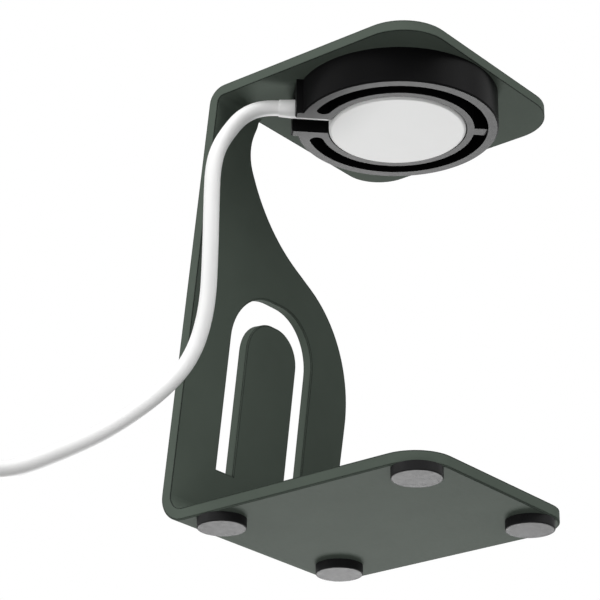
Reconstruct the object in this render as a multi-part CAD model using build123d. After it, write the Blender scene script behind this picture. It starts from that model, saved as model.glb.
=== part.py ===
"""Charger stand: a sheet bent into a C, a moulded holder under its top plate, a charging puck and its cord.

Millimetres. +Z is up and the feet stand on z = 0. The C opens toward -Y, the upright is at +Y.
x = 0 and y = 0 are the middle of the stand without its cord.
"""
import math
import os
from build123d import *

# Bent sheet
sheet_t = 2.4
base_width = 49.4
base_depth = 62.8
top_width = 52.8
top_length = 51.7
upright_length = 93.0
lean_deg = 6.5
bottom_bend_r = 3.1
top_bend_r = 1.4
base_corner_r = 8.0
top_corner_r = 10.0
top_rear_corner_r = 8.0
edge_break = 0.25

# Outline of the upright: x from the near edge, drop along the sheet from the top fold
shoulder_x = 51.1
shoulder_drop = 40.2
shoulder_r = 27.4
flank_x = 19.7
flank_drop = 24.9
flank_r = 38.2
waist_x = 10.6
waist_drop = 10.3
waist_r = 9.8
neck_x = 12.9
neck_drop = 3.7
neck_r = 4.0
notch_r = 1.2
rear_edge_inset = 1.6

# U-shaped slot around the tongue of the upright
slot_x = 25.1
slot_width = 5.0
slot_foot_s = 14.6
slot_crown_drop = 39.3
slot_corner_r = 11.2
tongue_width = 15.7
tongue_corner_r = 7.0

# Rubber feet
foot_h = 1.9
foot_d = 9.6
foot_inset_near = 4.5
foot_inset_far = 8.5
foot_inset_front = 4.9
foot_inset_rear = 11.8

# Moulded holder
holder_h = 7.6
holder_r = 20.6
holder_from_near = 23.0
holder_from_front = 21.0
outer_wall = 2.1
inner_wall = 1.45
arc_slot_depth = 6.0
arc_slot_gap_deg = 22.0
rib_width = 2.6
rib_recess = 0.8
boss_width = 10.4
boss_reach = 21.3
channel_width = 5.8
channel_depth = 5.7
cord_side_deg = 135.0
face_chamfer = 0.3

# Charging puck
puck_r = 14.0
puck_gap = 0.2
puck_back_proud = 0.35
puck_proud = 0.3
puck_wall = 1.2
cap_t = 1.5
cap_seam = 0.05
dish_depth = 0.35
dish_rim = 1.6
skirt_h = 1.4
inner_play = 0.1
puck_edge_r = 0.6

# Inside the puck
coil_wire_t = 0.9
coil_wire_d = 22.0
coil_wire_hole = 11.0
ferrite_t = 0.6
ferrite_d = 22.6
magnet_d = 9.0
magnet_t = 3.0
board_t = 0.8
board_d = 22.4
board_post_d = 2.4
board_post_ring_d = 18.0
chip_size = 3.2
chip_t = 0.9

# Cord and what is on it
cord_d = 3.2
cord_above_face = 3.5
relief_d = 3.9
relief_tip_d = 3.5
relief_reach = 24.3
coil_turns_wide = 5
coil_turns_high = 2
coil_pitch = 3.2
coil_outer_r = 24.4
entry_stub = 13.5
lead_turn_r = 9.6
lead_turn_y = 9.7
tie_t = 0.6
tie_width = 6.0
tie_play = 0.1
tie_deg = -100.0
tie_tab = 9.0

# Plug
plug_width = 15.6
plug_t = 8.4
plug_length = 18.5
plug_edge_r = 1.8
plug_relief_length = 7.0
plug_relief_d = 6.0
shell_width = 12.0
shell_height = 4.5
shell_wall = 0.3
shell_length = 12.0
shell_window = 2.4
tongue_t = 1.9
tongue_inset = 0.6
contact_width = 1.1
contact_t = 0.15
contact_length = 7.0
contact_pitch = 2.3

# Derived places
near_x = -top_width / 2
far_x = near_x + top_width
base_far_x = near_x + base_width
front_y = -base_depth / 2
rear_y = base_depth / 2
lean = math.radians(lean_deg)
bend_out_low = bottom_bend_r + sheet_t
bend_out_high = top_bend_r + sheet_t
corner_y = rear_y - bend_out_low + bend_out_low * (1 + math.sin(lean)) / math.cos(lean)
crest_y = corner_y - upright_length * math.sin(lean)
fold_s = bend_out_low * math.tan((math.pi / 2 + lean) / 2)
shoulder_s = upright_length - shoulder_drop
flank_s = upright_length - flank_drop
waist_s = upright_length - waist_drop
neck_s = upright_length - neck_drop
slot_crown_s = upright_length - slot_crown_drop
top_z = foot_h + upright_length * math.cos(lean)
under_z = top_z - sheet_t
top_front_y = crest_y - top_length
holder_x = near_x + holder_from_near
holder_y = top_front_y + holder_from_front
face_z = under_z - holder_h
recess_r = puck_r + puck_gap
cord_side = math.radians(cord_side_deg)
cord_dir = Vector(math.cos(cord_side), math.sin(cord_side), 0)
cord_z = face_z + cord_above_face
axis_low = Vector(holder_x, holder_y, cord_z)
puck_back_z = face_z - puck_back_proud
puck_front_z = top_z + puck_proud
cap_z = puck_front_z - cap_t

# Route of the free cord, chosen by hand, from the collar to the coil on the table
exit_point = axis_low + cord_dir * relief_reach
first_run = 5.0
CORD_ROUTE = [
    (-27.1, 14.2, 85.7),
    (-29.3, 16.0, 81.7),
    (-30.4, 16.6, 76.0),
    (-30.9, 16.8, 67.5),
    (-30.8, 17.1, 54.5),
    (-29.8, 18.3, 42.5),
    (-31.0, 20.7, 32.5),
    (-36.6, 23.5, 24.0),
    (-45.2, 26.9, 15.9),
    (-55.0, 30.8, 8.6),
    (-65.5, 34.8, 2.2),
    (-78.0, 38.9, 2.2),
    (-91.8, 43.2, 2.2),
]


def tilted(x, s, outward=0.0):
    """A point at x, s along the upright's outer face, and outward from that face."""
    y = corner_y - s * math.sin(lean) + outward * math.cos(lean)
    z = foot_h + s * math.cos(lean) + outward * math.sin(lean)
    return Vector(x, y, z)


def outer_line():
    """The outer side of the bent strip, seen along X."""
    return FilletPolyline(
        (0, front_y, foot_h),
        (0, corner_y, foot_h),
        (0, crest_y, top_z),
        (0, top_front_y, top_z),
        radius=[bend_out_low, bend_out_high],
    )


def side_profile():
    """The bent strip seen from the side, as a face in the YZ plane."""
    inner_low_y = corner_y - sheet_t * (1 + math.sin(lean)) / math.cos(lean)
    inner_high_y = crest_y - sheet_t * (1 - math.sin(lean)) / math.cos(lean)
    inner = FilletPolyline(
        (0, front_y, foot_h + sheet_t),
        (0, inner_low_y, foot_h + sheet_t),
        (0, inner_high_y, under_z),
        (0, top_front_y, under_z),
        radius=[bottom_bend_r, top_bend_r],
    )
    low_end = Line((0, front_y, foot_h), (0, front_y, foot_h + sheet_t))
    high_end = Line((0, top_front_y, top_z), (0, top_front_y, under_z))
    return make_face([*outer_line().edges(), *inner.edges(), low_end, high_end])


def upright_plane():
    """The upright's outer face: local x is X, local y runs up along the sheet."""
    return Plane(origin=tilted(0, 0), x_dir=(1, 0, 0), z_dir=(0, -math.cos(lean), -math.sin(lean)))


def beside_upright():
    """What is cut away past the S-shaped edge, between the two folds."""
    past = far_x + sheet_t
    over_s = upright_length + sheet_t
    edge = FilletPolyline(
        (base_far_x, fold_s),
        (near_x + shoulder_x, shoulder_s),
        (near_x + flank_x, flank_s),
        (near_x + waist_x, waist_s),
        (near_x + neck_x, neck_s),
        (near_x + neck_x, over_s),
        radius=[shoulder_r, flank_r, waist_r, neck_r],
    )
    back = Polyline((near_x + neck_x, over_s), (past, over_s), (past, fold_s), (base_far_x, fold_s))
    outline = make_face([*edge.edges(), *back.edges()])
    region = extrude(upright_plane() * outline, sheet_t * 2, both=True)
    return region - Pos(0, 0, under_z + top_width / 2) * Box(4 * top_width, 4 * top_width, top_width)


def u_slot():
    """The slot that leaves a tongue in the middle of the upright."""
    mid = near_x + slot_x
    outer_half = tongue_width / 2 + slot_width
    inner_half = tongue_width / 2
    crown = slot_crown_s - slot_width
    outer = FilletPolyline(
        (mid - outer_half, slot_foot_s),
        (mid - outer_half, slot_crown_s),
        (mid + outer_half, slot_crown_s),
        (mid + outer_half, slot_foot_s),
        radius=[slot_corner_r] * 2,
    )
    inner = FilletPolyline(
        (mid - inner_half, slot_foot_s),
        (mid - inner_half, crown),
        (mid + inner_half, crown),
        (mid + inner_half, slot_foot_s),
        radius=[tongue_corner_r] * 2,
    )
    feet = [
        Line((mid - outer_half, slot_foot_s), (mid - inner_half, slot_foot_s)),
        Line((mid + inner_half, slot_foot_s), (mid + outer_half, slot_foot_s)),
    ]
    outline = make_face([*outer.edges(), *inner.edges(), *feet])
    return extrude(upright_plane() * outline, sheet_t * 2, both=True)


def plan_waste(outline, low_z, high_z, rear_limit):
    """Everything outside an outline in plan, between two heights and in front of a limit."""
    front_limit = min(front_y, top_front_y) - 2 * sheet_t
    width = 2 * max(top_width, base_width)
    block = Pos(0, (front_limit + rear_limit) / 2, (low_z + high_z) / 2) * Box(
        width, rear_limit - front_limit, high_z - low_z
    )
    keep = extrude(Pos(0, 0, low_z) * outline, high_z - low_z)
    return block - keep


def base_outline():
    """The base in plan, open past the fold."""
    past = rear_y + sheet_t
    edge = FilletPolyline(
        (near_x, past),
        (near_x, front_y),
        (base_far_x, front_y),
        (base_far_x, past),
        radius=[base_corner_r] * 2,
    )
    return make_face([*edge.edges(), Line((base_far_x, past), (near_x, past))])


def top_outline():
    """The top plate in plan, with the neck running on past its rear edge."""
    past = rear_y
    rear = crest_y - rear_edge_inset
    edge = FilletPolyline(
        (near_x, past),
        (near_x, top_front_y),
        (far_x, top_front_y),
        (far_x, rear),
        (near_x + neck_x, rear),
        (near_x + neck_x, past),
        radius=[top_corner_r, top_corner_r, top_rear_corner_r, notch_r],
    )
    return make_face([*edge.edges(), Line((near_x + neck_x, past), (near_x, past))])


def outer_edges(strip):
    """The sharp edges of the sheet's outer side, without the seams of the folds."""
    line = outer_line()
    found = []
    for edge in strip.edges():
        mid = edge @ 0.5
        if line.distance_to(Vector(0, mid.Y, mid.Z)) > edge_break / 10:
            continue
        sides = [face.normal_at(mid) for face in strip.faces() if face.distance_to(mid) < edge_break / 100]
        if sides[0].get_angle(sides[-1]) > 30:
            found.append(edge)
    return found


def slot_edges(strip):
    """The slot's outlines on both sides of the sheet."""
    mid = near_x + slot_x
    reach = tongue_width / 2 + slot_width + edge_break
    low = tilted(0, slot_foot_s, -sheet_t).Z - edge_break
    high = tilted(0, slot_crown_s).Z + edge_break
    found = strip.edges().filter_by_position(Axis.X, mid - reach, mid + reach)
    found = found.filter_by_position(Axis.Z, low, high)
    return [edge for edge in found if abs(edge.length - sheet_t) > edge_break]


def stand_frame():
    strip = extrude(side_profile(), top_width / 2, both=True)
    upright_zone = Box(4 * top_width, 2 * rear_y, 4 * bend_out_low)
    above_fold = upright_plane() * Pos(0, fold_s + rear_y, 0) * upright_zone
    strip -= plan_waste(base_outline(), 0, 2 * bend_out_low, rear_y + sheet_t) - above_fold
    strip -= beside_upright()
    strip -= plan_waste(top_outline(), under_z, top_z + sheet_t, rear_y)
    strip -= Pos(holder_x, holder_y, top_z) * Cylinder(recess_r, 3 * sheet_t)
    strip = chamfer(outer_edges(strip), edge_break)
    strip -= u_slot()
    return chamfer(slot_edges(strip), edge_break)


def foot(x, y):
    pad = Pos(x, y, foot_h / 2) * Cylinder(foot_d / 2, foot_h)
    low = pad.edges().group_by(Axis.Z)[0]
    return fillet(low, edge_break)


def feet():
    near = near_x + foot_inset_near
    far = base_far_x - foot_inset_far
    front = front_y + foot_inset_front
    rear = rear_y - foot_inset_rear
    places = {
        "foot_front_near": (near, front),
        "foot_front_far": (far, front),
        "foot_rear_near": (near, rear),
        "foot_rear_far": (far, rear),
    }
    return {name: foot(x, y) for name, (x, y) in places.items()}


def column(radius, low, high):
    """A cylinder on the holder's axis between two heights."""
    return Pos(holder_x, holder_y, (low + high) / 2) * Cylinder(radius, high - low)


def toward_cord(length, width, low, high, start=0.0, turn=0.0):
    """A block from the holder's axis out along the cord's side, between two heights."""
    place = Pos(holder_x, holder_y, (low + high) / 2) * Rot(0, 0, cord_side_deg + turn)
    return place * Pos(start + length / 2, 0, 0) * Box(length, width, high - low)


def arc_slot():
    """The springy wall's long slot: a ring with rounded ends beside the cord's channel."""
    outer = holder_r - outer_wall
    inner = recess_r + inner_wall
    roof = face_z + arc_slot_depth
    ring = column(outer, face_z, roof) - column(inner, face_z, roof)
    reach = 2 * holder_r
    gap = math.radians(arc_slot_gap_deg)
    wedge = make_face(Polyline(
        (0, 0),
        (reach, -reach * math.tan(gap)),
        (reach, reach * math.tan(gap)),
        close=True,
    ))
    place = Pos(holder_x, holder_y, face_z) * Rot(0, 0, cord_side_deg)
    ring -= extrude(place * wedge, arc_slot_depth)
    mid = (outer + inner) / 2
    for side in (-1, 1):
        x = mid * math.cos(side * gap)
        y = mid * math.sin(side * gap)
        ring += place * Pos(x, y, arc_slot_depth / 2) * Cylinder((outer - inner) / 2, arc_slot_depth)
    rib = toward_cord(holder_r, rib_width, face_z + rib_recess, roof, turn=180)
    return ring - rib


def charger_holder():
    body = column(holder_r, face_z, under_z)
    body += toward_cord(boss_reach, boss_width, face_z, under_z)
    low = body.edges().group_by(Axis.Z)[0]
    body = chamfer(low, face_chamfer)
    body -= column(recess_r, face_z, under_z)
    body -= toward_cord(boss_reach * 2, channel_width, face_z, face_z + channel_depth)
    return body - arc_slot()


def puck_back_shell():
    """The white cup that shows from below, with a port for the cord's collar."""
    body = column(puck_r, puck_back_z, cap_z - cap_seam)
    body = fillet(body.edges().group_by(Axis.Z)[0], puck_edge_r)
    body -= column(puck_r - puck_wall, puck_back_z + puck_wall, cap_z)
    floor = puck_back_z + puck_wall
    for turn in (60, 180, 300):
        angle = cord_side + math.radians(turn)
        x = holder_x + board_post_ring_d / 2 * math.cos(angle)
        y = holder_y + board_post_ring_d / 2 * math.sin(angle)
        post_h = board_z() - floor
        body += Pos(x, y, floor + post_h / 2) * Cylinder(board_post_d / 2, post_h)
    return body - collar_port()


def collar_port():
    """The round hole through the cup's side."""
    place = Plane(origin=axis_low + cord_dir * (puck_r - 2 * puck_wall), z_dir=cord_dir)
    return place * Cylinder(relief_d / 2, 4 * puck_wall, align=(Align.CENTER, Align.CENTER, Align.MIN))


def coil_z():
    return cap_z - coil_wire_t


def ferrite_z():
    return coil_z() - ferrite_t


def board_z():
    return ferrite_z() - magnet_drop() - board_t


def magnet_drop():
    """How far the magnet reaches below the ferrite."""
    return magnet_t - coil_wire_t - ferrite_t


def puck_front_cap():
    """The charging face, dished to take a rounded case back, with a skirt inside the cup."""
    body = column(puck_r, cap_z, puck_front_z)
    body = fillet(body.edges().group_by(Axis.Z)[-1], puck_edge_r)
    dish_r = puck_r - dish_rim
    sphere_r = (dish_r**2 + dish_depth**2) / (2 * dish_depth)
    body -= Pos(holder_x, holder_y, puck_front_z + sphere_r - dish_depth) * Sphere(sphere_r)
    skirt_out = puck_r - puck_wall - inner_play
    skirt = column(skirt_out, cap_z - skirt_h, cap_z)
    return body + (skirt - column(skirt_out - puck_wall, cap_z - skirt_h, cap_z))


def charging_coil():
    return column(coil_wire_d / 2, coil_z(), cap_z) - column(coil_wire_hole / 2, coil_z(), cap_z)


def ferrite_shield():
    ring = column(ferrite_d / 2, ferrite_z(), coil_z())
    return ring - column(magnet_d / 2 + inner_play, ferrite_z(), coil_z())


def alignment_magnet():
    return column(magnet_d / 2, cap_z - magnet_t, cap_z)


def circuit_board():
    """A round board on the cup's three posts, with its chips on the underside."""
    low = board_z()
    body = column(board_d / 2, low, low + board_t)
    for x, y in ((-3.4, 3.0), (3.2, 2.2), (0.4, -4.6)):
        body += Pos(holder_x + x, holder_y + y, low - chip_t / 2) * Box(chip_size, chip_size, chip_t)
    return body


def puck_strain_relief():
    """The collar on the cord, from inside the cup out through the holder's channel."""
    start = puck_r - puck_wall
    place = Plane(origin=axis_low + cord_dir * start, z_dir=cord_dir)
    straight = boss_reach - start
    body = place * Cylinder(relief_d / 2, straight, align=(Align.CENTER, Align.CENTER, Align.MIN))
    tip = relief_reach - boss_reach
    place = Plane(origin=axis_low + cord_dir * boss_reach, z_dir=cord_dir)
    cone = place * Cone(relief_d / 2, relief_tip_d / 2, tip, align=(Align.CENTER, Align.CENTER, Align.MIN))
    return body + cone


def cord_points():
    return [exit_point, exit_point + cord_dir * first_run, *(Vector(*p) for p in CORD_ROUTE)]


def corner_radii(points):
    """The largest arc that each pair of runs allows, up to 0.45 of the shorter run."""
    radii = []
    for before, here, after in zip(points, points[1:], points[2:]):
        turn = math.radians((here - before).get_angle(after - here))
        shorter = min((here - before).length, (after - here).length)
        radii.append(0.45 * shorter / math.tan(turn / 2))
    return radii


def charging_cord():
    points = cord_points()
    radii = corner_radii(points)
    print("cord radii", [round(r, 1) for r in radii])
    path = FilletPolyline(*points, radius=radii)
    ring = Plane(origin=points[0], z_dir=points[1] - points[0]) * Circle(cord_d / 2)
    tube = sweep(ring, path=path)
    print("cord run", round(path.length, 1), "volume ratio", tube.volume / (ring.area * path.length))
    return tube


def coil_centre():
    """The coil lies to the left of the arriving cord."""
    last, end = cord_points()[-2:]
    heading = (end - last).normalized()
    left = Vector(-heading.Y, heading.X, 0)
    middle = end + heading * entry_stub + left * (coil_outer_r - cord_d / 2)
    return Vector(middle.X, middle.Y, 0), end, heading


def coil_top():
    return tie_t + coil_turns_high * coil_pitch


def plug_lead():
    """The last of the cord: up from the outer turn, round to the left and onto the coil."""
    reach = coil_outer_r - cord_d / 2
    axis_z = coil_top() + plug_t / 2
    points = [
        (17.8, -14.2, coil_top() - coil_pitch / 2),
        (reach, -3.5, axis_z - 1.8),
        (reach, lead_turn_y, axis_z),
        (reach - lead_turn_y, lead_turn_y, axis_z),
    ]
    centre = coil_centre()[0]
    route = [centre + Vector(*point) for point in points]
    path = FilletPolyline(*route, radius=[lead_turn_r * 1.25, lead_turn_r])
    ring = Plane(origin=route[0], z_dir=route[1] - route[0]) * Circle(cord_d / 2)
    return sweep(ring, path=path), route[-1]


def cord_coil():
    """The coil's outer shape, with the cord that enters it and the lead to the plug."""
    centre, end, heading = coil_centre()
    inner_r = coil_outer_r - coil_turns_wide * coil_pitch
    height = coil_turns_high * coil_pitch
    ring = Cylinder(coil_outer_r, height) - Cylinder(inner_r, height)
    ring = fillet(ring.edges().filter_by(GeomType.CIRCLE), cord_d / 2 - edge_break)
    body = Pos(centre.X, centre.Y, tie_t + height / 2) * ring
    keep_low = (Align.CENTER, Align.CENTER, Align.MIN)
    body += Plane(origin=end, z_dir=heading) * Cylinder(cord_d / 2, entry_stub, align=keep_low)
    body -= Pos(centre.X, centre.Y, 0) * Cylinder(inner_r, 4 * height)
    return body + plug_lead()[0]


def cord_tie():
    """A strap around the coil, its free end lapped on top."""
    centre = coil_centre()[0]
    inner_r = coil_outer_r - coil_turns_wide * coil_pitch
    height = coil_turns_high * coil_pitch
    half = tie_width / 2
    inside = math.sqrt(inner_r**2 - half**2) - tie_play
    outside = coil_outer_r + tie_play
    length = outside - inside
    middle = (inside + outside) / 2
    place = Pos(centre.X, centre.Y, tie_t) * Rot(0, 0, tie_deg)
    band_h = height + tie_play
    band = Pos(middle, 0, band_h / 2) * Box(length + 2 * tie_t, tie_width, band_h + 2 * tie_t)
    band -= Pos(middle, 0, band_h / 2) * Box(length, 2 * tie_width, band_h)
    lap = Pos(middle, 0, band_h + 1.5 * tie_t) * Box(tie_tab, tie_width, tie_t)
    return place * (band + lap)


def plug_place(offset):
    """The plug lies on the coil, its axis along -X from the lead's end."""
    start = plug_lead()[1]
    return Plane(origin=start - Vector(offset, 0, 0), x_dir=(0, 1, 0), z_dir=(-1, 0, 0))


def plug_block(width, height, length, offset):
    """A block along the plug's axis, from an offset past the strain relief's tip."""
    box = Box(width, height, length, align=(Align.CENTER, Align.CENTER, Align.MIN))
    return plug_place(offset) * box


def plug_strain_relief():
    keep_low = (Align.CENTER, Align.CENTER, Align.MIN)
    return plug_place(0) * Cone(relief_tip_d / 2, plug_relief_d / 2, plug_relief_length, align=keep_low)


def plug_housing():
    body = plug_block(plug_width, plug_t, plug_length, plug_relief_length)
    body = fillet(body.edges().filter_by(Axis.X), plug_edge_r)
    return fillet(body.edges().group_by(Axis.X)[0] + body.edges().group_by(Axis.X)[-1], edge_break * 2)


def plug_shell():
    """The stamped metal shell, open at the tip, with two latch windows."""
    start = plug_relief_length + plug_length
    body = plug_block(shell_width, shell_height, shell_length, start)
    body = fillet(body.edges().filter_by(Axis.X), shell_wall * 1.5)
    inner_w = shell_width - 2 * shell_wall
    inner_h = shell_height - 2 * shell_wall
    body -= plug_block(inner_w, inner_h, shell_length, start)
    for side in (-1, 1):
        window = plug_block(shell_window, shell_height * 2, shell_window, start + shell_length / 2)
        body -= Pos(0, side * shell_width / 4, 0) * window
    return body


def plug_tongue():
    """The plastic tongue that fills the lower half of the shell."""
    start = plug_relief_length + plug_length
    width = shell_width - 2 * shell_wall
    length = shell_length - tongue_inset
    low = -(shell_height / 2 - shell_wall) + tongue_t / 2
    return Pos(0, 0, low) * plug_block(width, tongue_t, length, start)


def plug_contacts():
    """Four contact strips on the tongue."""
    start = plug_relief_length + plug_length + shell_length - tongue_inset - contact_length - tongue_inset
    top = -(shell_height / 2 - shell_wall) + tongue_t + contact_t / 2
    strips = []
    for i in (-1.5, -0.5, 0.5, 1.5):
        strip = plug_block(contact_width, contact_t, contact_length, start)
        strips.append(Pos(0, i * contact_pitch, top) * strip)
    return Compound(children=strips)


def build():
    nodes = {"stand_frame": stand_frame(), **feet()}
    nodes["charger_holder"] = charger_holder()
    nodes["puck_back_shell"] = puck_back_shell()
    nodes["puck_front_cap"] = puck_front_cap()
    nodes["charging_coil"] = charging_coil()
    nodes["ferrite_shield"] = ferrite_shield()
    nodes["alignment_magnet"] = alignment_magnet()
    nodes["circuit_board"] = circuit_board()
    nodes["puck_strain_relief"] = puck_strain_relief()
    nodes["charging_cord"] = charging_cord()
    nodes["cord_coil"] = cord_coil()
    nodes["cord_tie"] = cord_tie()
    nodes["plug_strain_relief"] = plug_strain_relief()
    nodes["plug_housing"] = plug_housing()
    nodes["plug_shell"] = plug_shell()
    nodes["plug_tongue"] = plug_tongue()
    nodes["plug_contacts"] = plug_contacts()
    return nodes


os.makedirs("parts", exist_ok=True)
for name, solid in build().items():
    export_step(solid, f"parts/{name}.step")
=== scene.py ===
"""Looks for the charger stand: materials, the flexible cord, light and camera."""
import math

import bpy
from mathutils import Matrix, Vector

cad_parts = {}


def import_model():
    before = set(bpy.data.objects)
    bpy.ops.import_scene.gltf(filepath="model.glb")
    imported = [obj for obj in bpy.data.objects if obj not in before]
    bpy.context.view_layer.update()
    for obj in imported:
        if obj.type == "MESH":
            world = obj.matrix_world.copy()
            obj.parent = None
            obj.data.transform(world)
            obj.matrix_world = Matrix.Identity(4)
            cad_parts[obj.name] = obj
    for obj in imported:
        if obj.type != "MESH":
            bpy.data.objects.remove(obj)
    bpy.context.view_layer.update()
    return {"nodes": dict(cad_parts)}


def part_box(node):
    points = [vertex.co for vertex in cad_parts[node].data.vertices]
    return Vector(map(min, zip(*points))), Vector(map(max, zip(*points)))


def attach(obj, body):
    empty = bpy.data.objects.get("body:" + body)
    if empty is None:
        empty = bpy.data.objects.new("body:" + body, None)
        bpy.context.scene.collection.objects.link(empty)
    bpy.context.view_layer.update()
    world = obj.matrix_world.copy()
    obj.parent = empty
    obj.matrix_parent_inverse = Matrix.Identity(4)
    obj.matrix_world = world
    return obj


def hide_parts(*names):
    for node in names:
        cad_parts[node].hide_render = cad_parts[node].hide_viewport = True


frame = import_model()
nodes = frame["nodes"]
scene = bpy.context.scene


# Shader helpers, with all sizes in metres

def material(name, color, roughness, metallic=0.0, specular=None):
    """A new material, its even values on the shader's own sockets."""
    mat = bpy.data.materials.new(name)
    mat.use_nodes = True
    shader = mat.node_tree.nodes["Principled BSDF"]
    shader.inputs["Base Color"].default_value = (*color, 1.0)
    shader.inputs["Roughness"].default_value = roughness
    shader.inputs["Metallic"].default_value = metallic
    if specular is not None:
        shader.inputs["Specular IOR Level"].default_value = specular
    return mat, mat.node_tree, shader


def add(tree, kind, **settings):
    """A new node; each setting is the value of an input, or else a property."""
    node = tree.nodes.new(kind)
    for key, value in settings.items():
        if key in node.inputs:
            node.inputs[key].default_value = value
        else:
            setattr(node, key, value)
    return node


def place(tree):
    """The piece's own coordinates, in metres."""
    return add(tree, "ShaderNodeTexCoord").outputs["Object"]


def noise(tree, size, detail=2.0, stretch=(1, 1, 1)):
    """Noise whose features are about size metres across, longer where stretch is under 1."""
    mapping = add(tree, "ShaderNodeMapping")
    mapping.inputs["Scale"].default_value = stretch
    tree.links.new(place(tree), mapping.inputs["Vector"])
    tex = add(tree, "ShaderNodeTexNoise", Scale=1.0 / size, Detail=detail, Roughness=0.55)
    tree.links.new(mapping.outputs["Vector"], tex.inputs["Vector"])
    return tex.outputs["Fac"]


def bump(tree, shader, height, depth, strength):
    node = add(tree, "ShaderNodeBump", Strength=strength, Distance=depth)
    tree.links.new(height, node.inputs["Height"])
    tree.links.new(node.outputs["Normal"], shader.inputs["Normal"])


def grain(tree, shader, size, depth, strength):
    """A fine even relief."""
    bump(tree, shader, noise(tree, size, detail=1.0), depth, strength)


def vary_roughness(tree, shader, fac, low, high):
    """Lets the roughness wander between two values."""
    node = add(tree, "ShaderNodeMapRange")
    node.inputs["To Min"].default_value = low
    node.inputs["To Max"].default_value = high
    tree.links.new(fac, node.inputs["Value"])
    tree.links.new(node.outputs["Result"], shader.inputs["Roughness"])


def tones(tree, fac, low, high):
    """A colour that wanders between two tones."""
    ramp = add(tree, "ShaderNodeValToRGB")
    for stop, position, tone in zip(ramp.color_ramp.elements, (0.3, 0.7), (low, high)):
        stop.position = position
        stop.color = (*tone, 1.0)
    tree.links.new(fac, ramp.inputs["Fac"])
    return ramp.outputs["Color"]


def mottle(tree, shader, fac, low, high):
    """Lets the base colour wander between two tones."""
    tree.links.new(tones(tree, fac, low, high), shader.inputs["Base Color"])


def edge_shade_mask(tree, width):
    """Mask for painted shade: 1 on the faces and towards 0 along the sharp edges, where a dark
    tone is painted in.
    """
    rounded = add(tree, "ShaderNodeBevel", samples=6, Radius=width)
    face = add(tree, "ShaderNodeNewGeometry")
    match = add(tree, "ShaderNodeVectorMath", operation="DOT_PRODUCT")
    tree.links.new(rounded.outputs["Normal"], match.inputs[0])
    tree.links.new(face.outputs["True Normal"], match.inputs[1])
    sharp = add(tree, "ShaderNodeMapRange")
    sharp.inputs["From Min"].default_value = 0.92
    sharp.inputs["From Max"].default_value = 0.997
    tree.links.new(match.outputs["Value"], sharp.inputs["Value"])
    return sharp.outputs["Result"]


# Materials

TIE_DEG = -100.0  # the cord's tie is turned by this about Z, and its weave with it


def coated_sheet():
    """Powder coat, with a thin dark line of painted shade along the sheet's cut edges."""
    mat, tree, shader = material(
        "coated_sheet", color=(0.0895, 0.109, 0.0915), roughness=0.56, specular=0.012,
    )
    coat = tones(
        tree, noise(tree, 0.012, detail=3.0),
        low=(0.086, 0.105, 0.088), high=(0.093, 0.1135, 0.095),
    )
    mix = add(tree, "ShaderNodeMix", data_type="RGBA")
    shade_tone = next(i for i in mix.inputs if i.name == "A" and i.type == "RGBA")
    face = next(i for i in mix.inputs if i.name == "B" and i.type == "RGBA")
    blend = next(i for i in mix.outputs if i.type == "RGBA")
    # painted shade: the dark tone laid along the sharp edges
    shade_tone.default_value = (0.008, 0.010, 0.009, 1.0)
    tree.links.new(edge_shade_mask(tree, width=0.00045), mix.inputs["Factor"])
    tree.links.new(coat, face)
    tree.links.new(blend, shader.inputs["Base Color"])
    vary_roughness(tree, shader, noise(tree, 0.0009), low=0.52, high=0.62)
    grain(tree, shader, size=0.00022, depth=0.000012, strength=0.35)
    return mat


def foot_rubber():
    mat, tree, shader = material(
        "foot_rubber", color=(0.010, 0.010, 0.0105), roughness=0.5, specular=0.09,
    )
    vary_roughness(tree, shader, noise(tree, 0.0012), low=0.46, high=0.58)
    grain(tree, shader, size=0.0003, depth=0.000015, strength=0.4)
    return mat


def holder_plastic():
    mat, tree, shader = material(
        "holder_plastic", color=(0.004, 0.004, 0.0042), roughness=0.36, specular=0.04,
    )
    vary_roughness(tree, shader, noise(tree, 0.0011), low=0.32, high=0.38)
    grain(tree, shader, size=0.00028, depth=0.000012, strength=0.4)
    return mat


def white_plastic():
    mat, tree, shader = material(
        "white_plastic", color=(0.74, 0.74, 0.735), roughness=0.42, specular=0.12,
    )
    mottle(tree, shader, noise(tree, 0.01), low=(0.733, 0.733, 0.728), high=(0.747, 0.747, 0.744))
    grain(tree, shader, size=0.0005, depth=0.000004, strength=0.3)
    return mat


def cord_jacket():
    mat, tree, shader = material("cord_jacket", color=(0.86, 0.86, 0.855), roughness=0.48)
    mottle(tree, shader, noise(tree, 0.006), low=(0.85, 0.85, 0.845), high=(0.87, 0.87, 0.866))
    vary_roughness(tree, shader, noise(tree, 0.0016), low=0.43, high=0.54)
    grain(tree, shader, size=0.0004, depth=0.000008, strength=0.35)
    return mat


def copper_wire():
    """Enamelled wire, wound round the puck's axis."""
    mat, tree, shader = material(
        "copper_wire", color=(0.62, 0.26, 0.12), roughness=0.3, metallic=1.0,
    )
    low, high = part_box("charging_coil")
    centre = (low + high) / 2
    shift = add(tree, "ShaderNodeMapping")
    shift.inputs["Location"].default_value = -centre
    tree.links.new(place(tree), shift.inputs["Vector"])
    turns = add(
        tree, "ShaderNodeTexWave", Scale=420.0, wave_type="RINGS", rings_direction="Z",
    )
    tree.links.new(shift.outputs["Vector"], turns.inputs["Vector"])
    bump(tree, shader, turns.outputs["Fac"], depth=0.00015, strength=0.8)
    return mat


def circuit_lacquer():
    """Green lacquer, with fields like those of a circuit's copper."""
    mat, tree, shader = material("circuit_lacquer", color=(0.015, 0.10, 0.045), roughness=0.35)
    cells = add(tree, "ShaderNodeTexVoronoi", Scale=700.0, distance="MANHATTAN")
    tree.links.new(place(tree), cells.inputs["Vector"])
    mottle(
        tree, shader, cells.outputs["Distance"],
        low=(0.012, 0.085, 0.038), high=(0.02, 0.14, 0.06),
    )
    return mat


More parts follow.
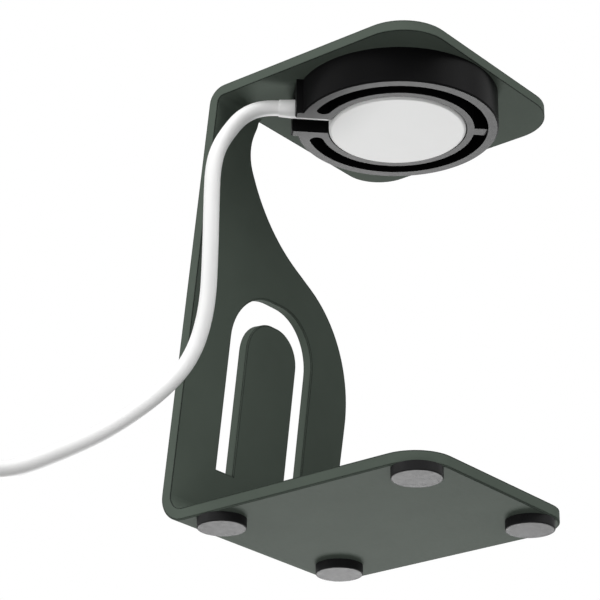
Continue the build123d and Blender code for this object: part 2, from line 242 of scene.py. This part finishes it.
def woven_tie():
    """A fine plain weave along and across the tie."""
    mat, tree, shader = material("woven_tie", color=(0.66, 0.66, 0.65), roughness=0.85)
    along = add(tree, "ShaderNodeMapping")
    along.inputs["Rotation"].default_value = (0, 0, math.radians(-TIE_DEG))
    tree.links.new(place(tree), along.inputs["Vector"])
    weave = add(tree, "ShaderNodeMath", operation="MULTIPLY")
    for threads, direction in zip(weave.inputs, ("X", "Y")):
        wave = add(tree, "ShaderNodeTexWave", Scale=620.0, bands_direction=direction)
        tree.links.new(along.outputs["Vector"], wave.inputs["Vector"])
        tree.links.new(wave.outputs["Fac"], threads)
    mottle(tree, shader, weave.outputs["Value"], low=(0.52, 0.52, 0.51), high=(0.72, 0.72, 0.71))
    bump(tree, shader, weave.outputs["Value"], depth=0.0001, strength=0.7)
    return mat


def brushed_shell():
    """Metal brushed along X."""
    mat, tree, shader = material(
        "brushed_shell", color=(0.62, 0.62, 0.61), roughness=0.28, metallic=1.0,
    )
    streaks = noise(tree, 0.0004, stretch=(0.05, 1, 1))
    vary_roughness(tree, shader, streaks, low=0.22, high=0.36)
    bump(tree, shader, streaks, depth=0.000006, strength=0.4)
    return mat


def grained(name, color, roughness, metallic, size, depth):
    """A plain material with a fine grain, its gloss uneven over four grains."""
    mat, tree, shader = material(name, color, roughness, metallic)
    vary_roughness(
        tree, shader, noise(tree, size * 4), low=roughness - 0.05, high=roughness + 0.06,
    )
    grain(tree, shader, size, depth, strength=0.4)
    return mat


# For each small plain node: its material's name, colour, roughness, metallic, grain size and depth
GRAINED = {
    "ferrite_shield": ("ferrite", (0.02, 0.02, 0.022), 0.6, 0.0, 0.0004, 0.00002),
    "alignment_magnet": ("nickel_plate", (0.60, 0.59, 0.57), 0.22, 1.0, 0.0005, 0.000004),
    "plug_tongue": ("tongue_plastic", (0.70, 0.70, 0.69), 0.45, 0.0, 0.0004, 0.000006),
    "plug_contacts": ("gilt_contacts", (0.75, 0.56, 0.24), 0.25, 1.0, 0.0003, 0.000003),
}


def dress():
    """Gives each node its material, and returns the jacket's for the cord."""
    jacket = cord_jacket()
    rubber = foot_rubber()
    white = white_plastic()
    looks = {
        "stand_frame": coated_sheet(),
        "charger_holder": holder_plastic(),
        "charging_coil": copper_wire(),
        "circuit_board": circuit_lacquer(),
        "cord_tie": woven_tie(),
        "plug_shell": brushed_shell(),
    }
    looks.update({name: grained(*values) for name, values in GRAINED.items()})
    looks.update({name: rubber for name in nodes if name.startswith("foot_")})
    looks.update({name: white for name in ("puck_back_shell", "puck_front_cap", "plug_housing")})
    looks.update({name: jacket for name in ("puck_strain_relief", "plug_strain_relief")})
    for name, mat in looks.items():
        for slot in nodes[name].material_slots:
            slot.material = mat
    return jacket


# The cord: the part's route, moved by up to 1.8 mm to follow the photograph, and then its coil

CORD_D = 0.0032
EXIT = Vector((-0.020583, 0.008017, 0.087802))
OUTWARD = Vector((-math.sqrt(0.5), math.sqrt(0.5), 0))
STRAIGHT = 0.0033  # how far the cord runs straight out of the exit
ROUTE = [
    (-0.0255, 0.0136, 0.0858),
    (-0.0271, 0.0159, 0.0821),
    (-0.0291, 0.0168, 0.0778),
    (-0.0303, 0.0169, 0.0729),
    (-0.0307, 0.0167, 0.0667),
    (-0.0305, 0.0168, 0.0545),
    (-0.0295, 0.0180, 0.0427),
    (-0.0309, 0.0203, 0.0324),
    (-0.0364, 0.0231, 0.0241),
    (-0.0454, 0.0272, 0.0151),
    (-0.0548, 0.0304, 0.0084),
    (-0.0658, 0.0352, 0.0017),
    (-0.0780, 0.0389, 0.0018),
    (-0.0918, 0.0432, 0.0022),
]
ENTRY = 0.0135         # from the route's last point to the coil's first
COIL_R = 0.0228        # of the outermost turn
COIL_INNER_R = 0.0100  # of the innermost turn
COIL_TURNS = 7
TURN_POINTS = 16
COIL_LOW = 0.0022      # height of the lower layer's points
COIL_HIGH = 0.0054     # height of the upper layer's points
LAYER_POINTS = 8       # points over which the cord climbs to the upper layer
RISE_POINTS = 3        # points over which it then rises to the plug
PLUG_AXIS_Z = 0.0112
LEAD_R = 0.0097        # of the quarter turn into the plug
LEAD_POINTS = 4


def ease(t):
    """0 before 0, 1 after 1, and smooth between."""
    t = min(max(t, 0), 1)
    return t * t * (3 - 2 * t)


def coil_points():
    """Inwards on the lower layer, outwards on the upper one, then a quarter turn into the plug."""
    end = Vector(ROUTE[-1])
    heading = (end - Vector(ROUTE[-2])).normalized()
    right = Vector((heading.y, -heading.x, 0))
    start = end + heading * ENTRY
    centre = start - right * COIL_R
    first = math.atan2(right.y, right.x)
    last = 2 * math.pi * (COIL_TURNS + 1)
    steps = round((last - first) / (2 * math.pi) * TURN_POINTS)
    points = [tuple(end + heading * ENTRY / 2)]
    for i in range(steps + 1):
        t = i / steps
        angle = first + (last - first) * t
        inward = 1 - abs(2 * t - 1)
        radius = COIL_R - (COIL_R - COIL_INNER_R) * inward
        height = COIL_LOW + (COIL_HIGH - COIL_LOW) * ease((i - steps / 2) / LAYER_POINTS + 0.5)
        height += (PLUG_AXIS_Z - COIL_HIGH) * ease((i - steps) / RISE_POINTS + 1)
        points.append((
            centre.x + radius * math.cos(angle),
            centre.y + radius * math.sin(angle),
            height,
        ))
    for i in range(1, LEAD_POINTS + 1):
        angle = math.pi / 2 / LEAD_POINTS * i
        points.append((
            centre.x + COIL_R - LEAD_R + LEAD_R * math.cos(angle),
            centre.y + LEAD_R * math.sin(angle),
            PLUG_AXIS_Z,
        ))
    return points


def cord(jacket):
    points = [tuple(EXIT), tuple(EXIT + OUTWARD * STRAIGHT), *ROUTE, *coil_points()]
    curve = bpy.data.curves.new("charge_cord", "CURVE")
    curve.dimensions = "3D"
    spline = curve.splines.new("NURBS")
    spline.points.add(len(points) - 1)
    for point, co in zip(spline.points, points):
        point.co = (*co, 1.0)
    spline.order_u = 3
    spline.use_endpoint_u = True
    spline.resolution_u = 8
    curve.bevel_depth = CORD_D / 2
    curve.bevel_resolution = 6
    curve.use_fill_caps = True
    curve.materials.append(jacket)
    obj = bpy.data.objects.new("charge_cord", curve)
    scene.collection.objects.link(obj)
    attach(obj, "root")
    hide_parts("charging_cord", "cord_coil")


# Floor, light and camera

LAMP_TARGET = (0, 0, 0.04)

# Each lamp's name, place, target, width in metres and power in watts
LAMPS = [
    ("key_front", (0.18, -0.76, 0.45), LAMP_TARGET, 0.6, 1.8),
    ("low_back", (0.70, 0.54, -0.49), LAMP_TARGET, 0.36, 7.4),
    ("low_fill", (-0.45, -0.60, -0.45), LAMP_TARGET, 0.8, 2.0),
    ("top_soft", (-0.2, -0.35, 0.9), LAMP_TARGET, 0.8, 7.0),
    ("side_soft", (-0.88, -0.22, 0.22), (0, 0, 0.05), 0.6, 1.1),
    ("side_back", (-0.80, 0.46, 0.10), LAMP_TARGET, 0.5, 5.0),
]

CAMERA_AT = (-0.343208, -0.259932, -0.142776)
CAMERA_TURN = (-50.925, 24.135, 0.578)  # yaw, pitch and roll in degrees
CAMERA_LENS = 140.69                    # in mm, on a sensor of the width below
CAMERA_SENSOR = 36


def floor():
    """Seen from above only: the photograph looks up at the stand from below its feet."""
    bpy.ops.mesh.primitive_plane_add(size=12, location=(0, 0, 0))
    obj = bpy.context.object
    obj.name = "floor"
    mat = bpy.data.materials.new("floor")
    mat.use_nodes = True
    tree = mat.node_tree
    tree.nodes.clear()
    out = add(tree, "ShaderNodeOutputMaterial")
    mix = add(tree, "ShaderNodeMixShader")
    clear = add(tree, "ShaderNodeBsdfTransparent")
    pale = add(tree, "ShaderNodeBsdfDiffuse", Color=(0.90, 0.90, 0.90, 1.0))
    path = add(tree, "ShaderNodeLightPath")
    side = add(tree, "ShaderNodeNewGeometry")
    front = add(tree, "ShaderNodeMath", operation="SUBTRACT")
    front.inputs[0].default_value = 1.0
    shown = add(tree, "ShaderNodeMath", operation="MULTIPLY")
    tree.links.new(side.outputs["Backfacing"], front.inputs[1])
    tree.links.new(front.outputs[0], shown.inputs[0])
    tree.links.new(path.outputs["Is Camera Ray"], shown.inputs[1])
    tree.links.new(shown.outputs[0], mix.inputs["Fac"])
    tree.links.new(clear.outputs[0], mix.inputs[1])
    tree.links.new(pale.outputs[0], mix.inputs[2])
    tree.links.new(mix.outputs[0], out.inputs["Surface"])
    obj.data.materials.append(mat)


def world():
    """White to the eye, in reflections and through glass, and plain grey as a light."""
    scene.world = bpy.data.worlds.new("studio")
    scene.world.use_nodes = True
    tree = scene.world.node_tree
    tree.nodes.clear()
    out = add(tree, "ShaderNodeOutputWorld")
    mix = add(tree, "ShaderNodeMixShader")
    light = add(tree, "ShaderNodeBackground", Color=(1, 1, 1, 1), Strength=0.18)
    seen = add(tree, "ShaderNodeBackground", Color=(1, 1, 1, 1), Strength=1.0)
    path = add(tree, "ShaderNodeLightPath")
    either = add(tree, "ShaderNodeMath", operation="MAXIMUM")
    any_of = add(tree, "ShaderNodeMath", operation="MAXIMUM")
    tree.links.new(path.outputs["Is Camera Ray"], either.inputs[0])
    tree.links.new(path.outputs["Is Glossy Ray"], either.inputs[1])
    tree.links.new(either.outputs[0], any_of.inputs[0])
    tree.links.new(path.outputs["Is Transmission Ray"], any_of.inputs[1])
    tree.links.new(any_of.outputs[0], mix.inputs["Fac"])
    tree.links.new(light.outputs[0], mix.inputs[1])
    tree.links.new(seen.outputs[0], mix.inputs[2])
    tree.links.new(mix.outputs[0], out.inputs["Surface"])


def lamp(name, stands_at, target, size, power):
    """A round soft light that faces its target."""
    data = bpy.data.lights.new(name, "AREA")
    data.shape = "DISK"
    data.size = size
    data.energy = power
    obj = bpy.data.objects.new(name, data)
    scene.collection.objects.link(obj)
    obj.location = stands_at
    obj.rotation_mode = "QUATERNION"
    obj.rotation_quaternion = (Vector(target) - Vector(stands_at)).to_track_quat("-Z", "Y")


def camera():
    """The photograph's view, fitted to the object's corners and circles."""
    yaw, pitch, roll = (math.radians(a) for a in CAMERA_TURN)
    ahead = Vector((
        -math.sin(yaw) * math.cos(pitch),
        math.cos(yaw) * math.cos(pitch),
        math.sin(pitch),
    ))
    right = ahead.cross(Vector((0, 0, 1))).normalized()
    up = right.cross(ahead)
    across = right * math.cos(roll) + up * math.sin(roll)
    above = up * math.cos(roll) - right * math.sin(roll)
    turn = Matrix((across, above, -ahead)).transposed()
    data = bpy.data.cameras.new("camera")
    data.sensor_width = CAMERA_SENSOR
    data.lens = CAMERA_LENS
    data.clip_start = 0.01
    obj = bpy.data.objects.new("camera", data)
    scene.collection.objects.link(obj)
    obj.matrix_world = Matrix.Translation(CAMERA_AT) @ turn.to_4x4()
    scene.camera = obj


cord(dress())
floor()
world()
for values in LAMPS:
    lamp(*values)
camera()
scene.view_settings.view_transform = "Standard"
